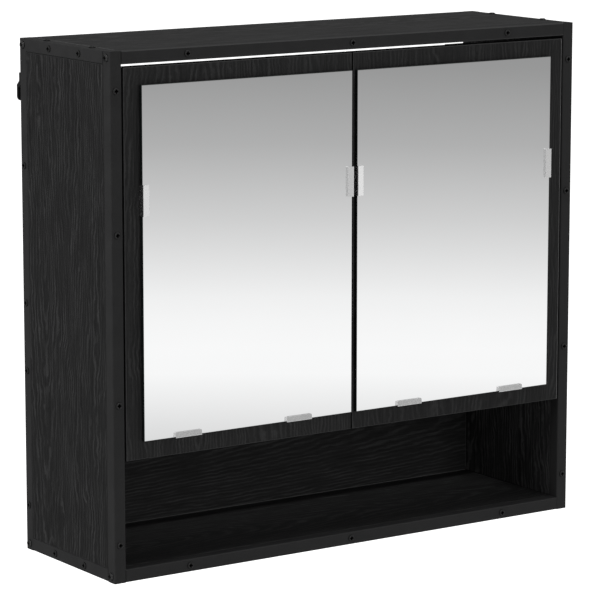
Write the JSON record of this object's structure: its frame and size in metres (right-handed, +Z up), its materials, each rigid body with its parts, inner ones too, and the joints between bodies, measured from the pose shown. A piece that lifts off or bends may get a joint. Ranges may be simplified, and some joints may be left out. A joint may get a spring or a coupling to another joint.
{
  "type": "medicine cabinet with mirror",
  "caption": "Wall-hung black mirror cabinet: square-tube steel frame, oak-effect boards, two inset mirror doors over an open niche.",
  "frame": {"origin": "middle of the line between the two wall-fixing holes, in the wall plane", "axes": "+X to the right as seen from the front, +Y into the wall, +Z up; the doors face -Y"},
  "size_m": [0.6552, 0.2162, 0.6032],
  "materials": {
    "frame_paint": "satin black powder coat",
    "oak_upright": "black oak effect, upright grain",
    "oak_level": "black oak effect, level grain",
    "door_oak": "black oak effect, upright grain",
    "mirror": "silvered glass with dark edges",
    "clip": "satin plated",
    "black_screw": "black oxide",
    "hanger_paint": "black",
    "zinc": "zinc plated",
    "nickel": "nickel plated",
    "beech": "raw beech"
  },
  "bodies": {
    "cabinet": {"front_post_left": "frame_paint", "front_post_right": "frame_paint", "rear_post_left": "frame_paint", "rear_post_right": "frame_paint", "side_rail_bottom_left": "frame_paint", "side_rail_bottom_right": "frame_paint", "side_rail_top_left": "frame_paint", "side_rail_top_right": "frame_paint", "front_rail_bottom": "frame_paint", "front_rail_top": "frame_paint", "rear_rail_bottom": "frame_paint", "rear_rail_top": "frame_paint", "post_caps": "frame_paint", "rail_inserts": "zinc", "side_panel_left": "oak_upright", "side_panel_right": "oak_upright", "top_panel": "oak_level", "bottom_panel": "oak_level", "divider_shelf": "oak_level", "inner_shelf": "oak_level", "back_board_lower": "oak_level", "back_board_upper": "oak_level", "screws_front": "black_screw", "screws_rear": "black_screw", "screws_sides": "black_screw", "screws_top": "black_screw", "screws_bottom": "black_screw", "hanger_screws": "black_screw", "corner_bolts": "black_screw", "hanger_left": "hanger_paint", "hanger_right": "hanger_paint", "shelf_pins": "zinc", "divider_dowels": "beech", "hinge_arms_left": "nickel", "hinge_arms_right": "nickel", "hinge_bases_left": "nickel", "hinge_bases_right": "nickel", "base_screws_left": "nickel", "base_screws_right": "nickel"},
    "left_door": {"door_left": "door_oak", "mirror_left": "mirror", "hinge_cups_left": "nickel", "hinge_pins_left": "nickel", "cup_screws_left": "nickel", "clip_screws_left": "nickel", "mirror_clip_left_outer": "clip", "mirror_clip_left_inner": "clip", "mirror_clip_left_low_outer": "clip", "mirror_clip_left_low_inner": "clip"},
    "right_door": {"door_right": "door_oak", "mirror_right": "mirror", "hinge_cups_right": "nickel", "hinge_pins_right": "nickel", "cup_screws_right": "nickel", "clip_screws_right": "nickel", "mirror_clip_right_outer": "clip", "mirror_clip_right_inner": "clip", "mirror_clip_right_low_outer": "clip", "mirror_clip_right_low_inner": "clip"}
  },
  "joints": [
    {"name": "left_door_hinge", "type": "hinge", "parent": "cabinet", "child": "left_door", "pos_m": [-0.292, -0.20145, -0.17555], "axis": [0, 0, 1], "range_deg": [-100, 0]},
    {"name": "right_door_hinge", "type": "hinge", "parent": "cabinet", "child": "right_door", "pos_m": [0.292, -0.20145, -0.17555], "axis": [0, 0, 1], "range_deg": [0, 100]}
  ]
}
